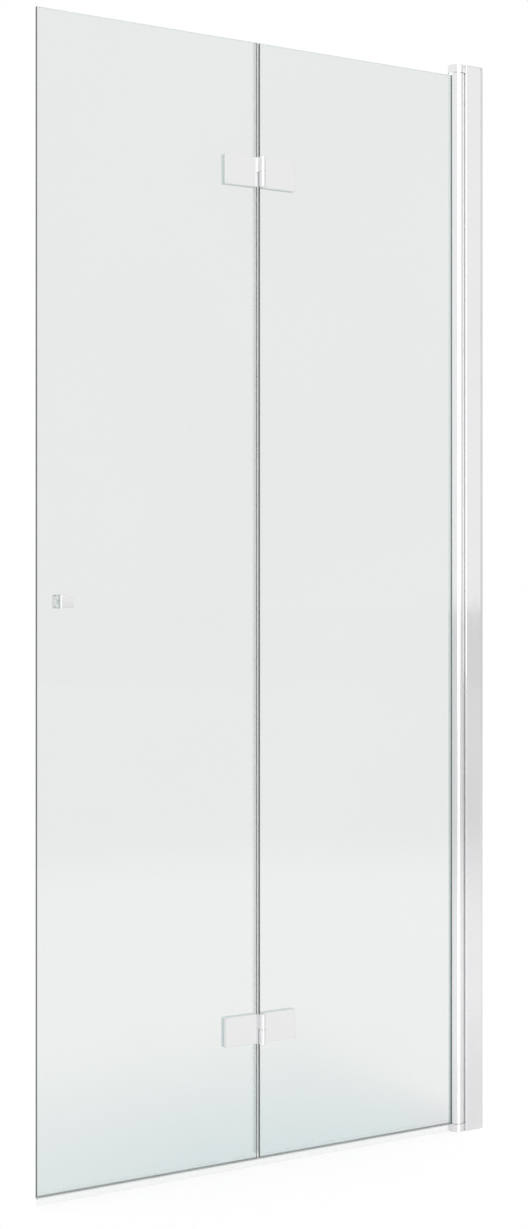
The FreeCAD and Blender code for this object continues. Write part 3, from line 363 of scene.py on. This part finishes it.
def make_glass(name, side_tone, foot_shade_x, foot_shade_strength, foot_shade_height):
    """Clear toughened glass: grey-green through its faces, with painted shade near its foot, a tone on each
    edge and a painted highlight on the upper edges.

    The painted shade at the foot has a strength and a height at each end of foot_shade_x.
    """
    tree = Finish(name)
    along, _, height = tree.axes("Object")
    _, across, upward = tree.axes("Normal")
    edge = tree.spread(tree.math("ABSOLUTE", across), GLASS_EDGE_FACING, FALLING)

    # Painted shade: a darker, greener tint at the foot that fades upwards
    foot_shade_rise = tree.math("DIVIDE", height, tree.spread(along, foot_shade_x, foot_shade_height))
    foot_shade_fade = tree.spread(foot_shade_rise, UNIT, FALLING, "SMOOTHSTEP")
    foot = tree.math("MULTIPLY", foot_shade_fade, tree.spread(along, foot_shade_x, foot_shade_strength))
    foot_shade_tone = tree.tones(tree.spread(along, GLASS_FOOT_PAINTED_SHADE_X), *GLASS_FOOT_PAINTED_SHADE_TONES)
    clear_tone = tree.tones(tree.texture(GLASS_TINT_NOISE, UNIT), *GLASS_CLEAR_TONES)
    face_tone_with_painted_shade = tree.tones(foot, clear_tone, foot_shade_tone)

    # Upper edges get a painted highlight and a painted glow, lower edges a dark tone
    level = tree.spread(tree.math("ABSOLUTE", upward), GLASS_LEVEL_FACING)
    upper = tree.spread(height, GLASS_MIDDLE_Z)
    level_tone_with_painted_light = tree.tones(upper, GLASS_LOWER_EDGE_TONE, GLASS_UPPER_EDGE_PAINTED_LIGHT)
    edge_tone = tree.tones(level, side_tone, level_tone_with_painted_light)
    painted_upper_glow = tree.spread(height, GLASS_MIDDLE_Z, (0.0, GLASS_UPPER_EDGE_PAINTED_GLOW))
    marks = tree.spread(tree.noise(GLASS_MARK_NOISE), GLASS_MARK_RANGE, GLASS_MARK_ROUGHNESS)
    tree.shade({
        "IOR": GLASS_INDEX,
        "Base Color": tree.tones(edge, face_tone_with_painted_shade, edge_tone),
        "Roughness": tree.levels(edge, marks, GLASS_EDGE_ROUGHNESS),
        "Transmission Weight": tree.spread(edge, UNIT, (1.0, GLASS_EDGE_TRANSMISSION)),
        "Emission Color": edge_tone,
        "Emission Strength": tree.math("MULTIPLY", level, painted_upper_glow),
    })

    through = tree.add("ShaderNodeBsdfTransparent", {"Color": GLASS_SHADOW_TONE})
    shadow = tree.rays()["Is Shadow Ray"]
    tree.show(tree.mix_shaders(shadow, tree.shader.outputs[0], through.outputs[0]))
    return tree.material


def make_metal(name, tone, variation, roughness, grain, wave, low_tone=None):
    """Bright metal with faint smears, a grain and a slight waviness; its lower part may have its own tone."""
    tree = Finish(name)
    colour = tree.smear(tone, variation)
    if low_tone:
        _, _, height = tree.axes("Object")
        colour = tree.tones(tree.spread(height, LOW_TONE_Z), low_tone, colour)
    tree.shade({
        "Metallic": 1.0,
        "Base Color": colour,
        "Roughness": tree.texture(GRAIN_NOISE, roughness, grain),
        "Normal": tree.bump(tree.noise(WAVE_NOISE, grain), wave),
    })
    return tree.material


def make_front_knob():
    """Chrome with painted shade at the back of its sides towards the glass, a painted reflection that darkens
    its face downwards, and a painted highlight on its rounded edges.
    """
    tree = Finish("front_knob_chrome")
    knob_low, knob_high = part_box("knob_front")
    _, depth, height = tree.axes("Object")
    _, across, _ = tree.axes("Normal")
    facing = tree.math("ABSOLUTE", across)
    # Painted shade on the sides towards the glass, painted reflection down the face, painted highlight on the
    # fillets
    side = tree.spread(facing, KNOB_SIDE_SHADE_FACING, FALLING)
    painted_rear_shade = tree.math("MULTIPLY", side, tree.spread(depth, KNOB_SIDE_SHADE_Y))
    face_tone_with_painted_shade = tree.tones(tree.spread(height, (knob_low[2], knob_high[2])), *KNOB_FACE_PAINTED_REFLECTION_TONES)
    front_tone_with_painted_highlight = tree.tones(tree.spread(facing, KNOB_FILLET_HIGHLIGHT_FACING), KNOB_FILLET_PAINTED_HIGHLIGHT, face_tone_with_painted_shade)
    tree.shade({
        "Metallic": 1.0,
        "Base Color": tree.tones(painted_rear_shade, front_tone_with_painted_highlight, KNOB_SIDE_PAINTED_SHADE),
        "Roughness": tree.texture(GRAIN_NOISE, CHROME_ROUGHNESS),
    })
    return tree.material


def make_back_knob():
    """Chrome with a painted glow on its seat towards the glass, though it is no lamp."""
    tree = Finish("back_knob_chrome")
    along, _, _ = tree.axes("Object")
    _, across, _ = tree.axes("Normal")
    # Painted glow on the seat, fading along X
    seat = tree.spread(across, KNOB_SEAT_LIT_FACING, FALLING)
    painted_seat_glow = tree.spread(along, KNOB_SEAT_LIT_X, KNOB_SEAT_PAINTED_GLOW)
    tree.shade({
        "Metallic": 1.0,
        "Base Color": tree.smear(CHROME_TONE, CHROME_VARIATION),
        "Roughness": tree.texture(GRAIN_NOISE, CHROME_ROUGHNESS),
        "Emission Color": WHITE,
        "Emission Strength": tree.math("MULTIPLY", seat, painted_seat_glow),
    })
    return tree.material


def make_hinge_chrome():
    """Chrome plate of the free hinge leaves, with painted shade along the rounded free end that dims its
    highlight.
    """
    tree = Finish("hinge_chrome")
    free_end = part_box("upper_free_hinge_leaf")[0][0]
    along, _, _ = tree.axes("Object")
    _, across, _ = tree.axes("Normal")
    # Painted shade on the free end's fillet
    end = tree.spread(along, (free_end + HINGE_END_SHADE_NEAR, free_end + HINGE_END_SHADE_FAR), FALLING)
    fillet = tree.spread(tree.math("ABSOLUTE", across), HINGE_END_SHADE_FACING)
    painted_end_shade = tree.math("MULTIPLY", fillet, end)
    tree.shade({
        "Metallic": 1.0,
        "Base Color": tree.tones(painted_end_shade, tree.smear(CHROME_TONE, CHROME_VARIATION), HINGE_END_PAINTED_SHADE),
        "Roughness": tree.texture(GRAIN_NOISE, CHROME_ROUGHNESS),
        "Normal": tree.bump(tree.noise(WAVE_NOISE), FINE_WAVE),
    })
    return tree.material


def make_clear_vinyl():
    """Clear flexible strip, a little cloudy, with painted light and shade by height near the screen's foot.
    """
    tree = Finish("clear_vinyl")
    _, _, height = tree.axes("Object")
    cloud = tree.texture(VINYL_CLOUD_NOISE, VINYL_CLOUD_COVER, VINYL_CLOUD_STRETCH)
    # Painted light and shade by height, with more cover where the painted shade is dark
    cover = tree.level_ramp(height, VINYL_FOOT, VINYL_COVERS)
    tree.shade({
        "Base Color": tree.ramp(height, VINYL_FOOT, VINYL_PAINTED_LIGHT_AND_SHADE),
        "Roughness": tree.texture(VINYL_CLOUD_NOISE, VINYL_ROUGHNESS, VINYL_CLOUD_STRETCH),
        "Alpha": tree.math("MULTIPLY", cloud, cover),
    })
    return tree.material


def make_moulded(name, tones, roughness, glow=None):
    """Plastic or milky rubber with a fine mottled surface; the rubber has a painted glow."""
    tree = Finish(name)
    fine = tree.noise(MOTTLE_NOISE)
    tone = tree.tones(tree.spread(fine, NOISE_MIDDLE), *tones)
    tree.shade({
        "Base Color": tone,
        "Roughness": tree.texture(MOULDED_NOISE, roughness),
        "Normal": tree.bump(fine, COARSE_WAVE),
    })
    # Painted glow, though the rubber is no lamp
    if glow:
        tree.shade({"Emission Color": tone, "Emission Strength": glow})
    return tree.material


def make_tube_gasket():
    """Glazing strip of the tube: painted shade at its front lip, painted light and glow on its back part and
    above the glass, less of it near the floor.
    """
    tree = Finish("tube_gasket")
    _, depth, height = tree.axes("Object")
    plain = tree.spread(depth, STRIP_DEPTH_Y)
    mottled = tree.math("MULTIPLY_ADD", tree.noise(MOTTLE_NOISE), STRIP_MOTTLE, plain)
    # Painted light and glow at the back and above the glass; painted shade at the front lip
    painted_rear_light = tree.math("MAXIMUM", mottled, tree.spread(height, STRIP_TOP_LIT_Z))
    rear_painted_tone = tree.tones(tree.spread(height, STRIP_REAR_PAINTED_TONES_Z), *STRIP_REAR_PAINTED_TONES)
    tone = tree.tones(painted_rear_light, STRIP_FRONT_PAINTED_SHADE, rear_painted_tone)
    tree.shade({
        "Base Color": tone,
        "Roughness": tree.texture(MOULDED_NOISE, RUBBER_ROUGHNESS),
        "Emission Color": tone,
        "Emission Strength": tree.spread(painted_rear_light, UNIT, STRIP_PAINTED_GLOW),
    })
    return tree.material


def make_slot_finishes():
    """The finish of each material slot in the record."""
    return {
        "glass": make_glass(
            "free_leaf_glass",
            FREE_GLASS_SIDE_TONE,
            FREE_GLASS_FOOT_SHADE_X,
            FREE_GLASS_FOOT_SHADE_STRENGTH,
            FREE_GLASS_FOOT_SHADE_HEIGHT,
        ),
        "chrome": make_metal(
            "chrome_plate", CHROME_TONE, CHROME_VARIATION, CHROME_ROUGHNESS, EVEN, FINE_WAVE
        ),
        "bright_aluminium": make_metal(
            "bright_aluminium", CHROME_TONE, ALUMINIUM_VARIATION, ALUMINIUM_ROUGHNESS, UPRIGHT, FINE_WAVE
        ),
        "satin_aluminium": make_metal(
            "satin_aluminium",
            SATIN_TONE,
            SATIN_VARIATION,
            SATIN_ROUGHNESS,
            UPRIGHT,
            COARSE_WAVE,
            SATIN_LOW_TONE,
        ),
        "steel": make_metal(
            "bright_steel", STEEL_TONE, STEEL_VARIATION, STEEL_ROUGHNESS, EVEN, COARSE_WAVE
        ),
        "clear_vinyl": make_clear_vinyl(),
        "gasket": make_moulded("milky_gasket", RUBBER_TONES, RUBBER_ROUGHNESS, RUBBER_PAINTED_GLOW),
        "plastic": make_moulded("white_plastic", PLASTIC_TONES, PLASTIC_ROUGHNESS),
    }


def make_own_finishes():
    """The finishes of nodes that look different from the rest of their slot."""
    hinge_chrome = make_hinge_chrome()
    return {
        "upper_free_hinge_leaf": hinge_chrome,
        "lower_free_hinge_leaf": hinge_chrome,
        "wall_side_glass": make_glass(
            "wall_side_leaf_glass",
            WALL_GLASS_SIDE_TONE,
            WALL_GLASS_FOOT_SHADE_X,
            WALL_GLASS_FOOT_SHADE_STRENGTH,
            WALL_GLASS_FOOT_SHADE_HEIGHT,
        ),
        "post_top_cover": make_metal(
            "cover_plate", COVER_TONE, CHROME_VARIATION, COVER_ROUGHNESS, EVEN, FINE_WAVE
        ),
        "tube_gasket": make_tube_gasket(),
        "knob_front": make_front_knob(),
        "knob_back": make_back_knob(),
    }


def dress_nodes():
    """Give each node the finish that its slot in the record names, or one of its own."""
    slot_finishes = make_slot_finishes()
    own_finishes = make_own_finishes()
    for part in frame["record"]["subparts"]:
        name = part["node"]
        finish = own_finishes.get(name, slot_finishes[part["material_slot"]])
        materials = nodes[name].data.materials
        materials.clear()
        materials.append(finish)


def make_floor():
    """Pale floor, white to the eye, that keeps the soft shadow of the screen."""
    bpy.ops.mesh.primitive_circle_add(
        vertices=FLOOR_CORNERS, radius=FLOOR_RADIUS, fill_type="NGON", location=FLOOR_CENTRE
    )
    floor = bpy.context.object
    floor.name = "floor"
    tree = Finish("pale_floor")
    rays = tree.rays()
    reach = tree.add("ShaderNodeVectorMath", {0: tree.place("Object")}, operation="LENGTH")
    distance = reach.outputs["Value"]

    # Painted light near the screen seen through the glass, and painted rings of light and shadow seen in
    # mirrors
    painted_glass_glow = tree.spread(distance, FLOOR_PAINTED_GLOW_REACH, FLOOR_PAINTED_GLOW_THROUGH_GLASS, "SMOOTHSTEP")
    plain = tree.math("MULTIPLY_ADD", rays["Is Transmission Ray"], painted_glass_glow, FLOOR_GLOW)
    painted_rings = tree.level_ramp(distance, FLOOR_RING_REACH, FLOOR_MIRROR_PAINTED_RINGS)
    level = tree.levels(rays["Is Reflection Ray"], plain, painted_rings)
    glow = tree.add("ShaderNodeEmission", {"Strength": level}).outputs[0]

    sheen_look = {"Color": grey(FLOOR_SHEEN_LEVEL), "Roughness": FLOOR_SHEEN_ROUGHNESS}
    sheen = tree.add("ShaderNodeBsdfGlossy", sheen_look).outputs[0]
    mirrored = tree.mix_shaders(rays["Is Reflection Ray"], tree.diffuse(0.0), sheen)
    polished = tree.add_shaders(tree.diffuse(FLOOR_SEEN_LEVEL), mirrored)

    camera_or_mirror = tree.math("ADD", rays["Is Camera Ray"], rays["Is Glossy Ray"])
    seen = tree.math("ADD", camera_or_mirror, rays["Is Transmission Ray"], clamp=True)
    tree.show(tree.mix_shaders(seen, tree.diffuse(FLOOR_LIGHT_LEVEL), tree.add_shaders(glow, polished)))
    floor.data.materials.append(tree.material)


def make_world():
    """White surroundings, greyer towards the wall's side in mirrors, and a softer level for light."""
    world = bpy.data.worlds.new("studio")
    bpy.context.scene.world = world
    tree = Tree(world)
    rays = tree.rays()
    side, _, _ = tree.axes("Generated")
    mirrored = tree.spread(side, WORLD_MIRROR_SIDE, WORLD_MIRROR_LEVELS)
    unseen = tree.levels(rays["Is Glossy Ray"], WORLD_LIGHT_LEVEL, mirrored)
    seen = tree.math("MAXIMUM", rays["Is Camera Ray"], rays["Is Transmission Ray"])
    background = tree.nodes["Background"]
    tree.feed(background.inputs["Color"], WHITE)
    tree.feed(background.inputs["Strength"], tree.levels(seen, unseen, WORLD_SEEN_LEVEL))


def make_softbox():
    """Rectangular soft light in front, as bright as its radiance in a mirror."""
    data = bpy.data.lights.new("front_softbox", "AREA")
    data.shape = "RECTANGLE"
    data.size = SOFTBOX_WIDTH
    data.size_y = SOFTBOX_HEIGHT
    data.energy = SOFTBOX_RADIANCE * math.pi * SOFTBOX_WIDTH * SOFTBOX_HEIGHT
    lamp = bpy.data.objects.new("front_softbox", data)
    lamp.location = SOFTBOX_PLACE
    look = Vector(SOFTBOX_TARGET) - Vector(SOFTBOX_PLACE)
    lamp.rotation_euler = look.to_track_quat("-Z", "Y").to_euler()
    lamp.visible_camera = False
    lamp.visible_transmission = False
    bpy.context.scene.collection.objects.link(lamp)


make_camera()
dress_nodes()
make_floor()
make_world()
make_softbox()
bpy.context.scene.view_settings.view_transform = "Standard"
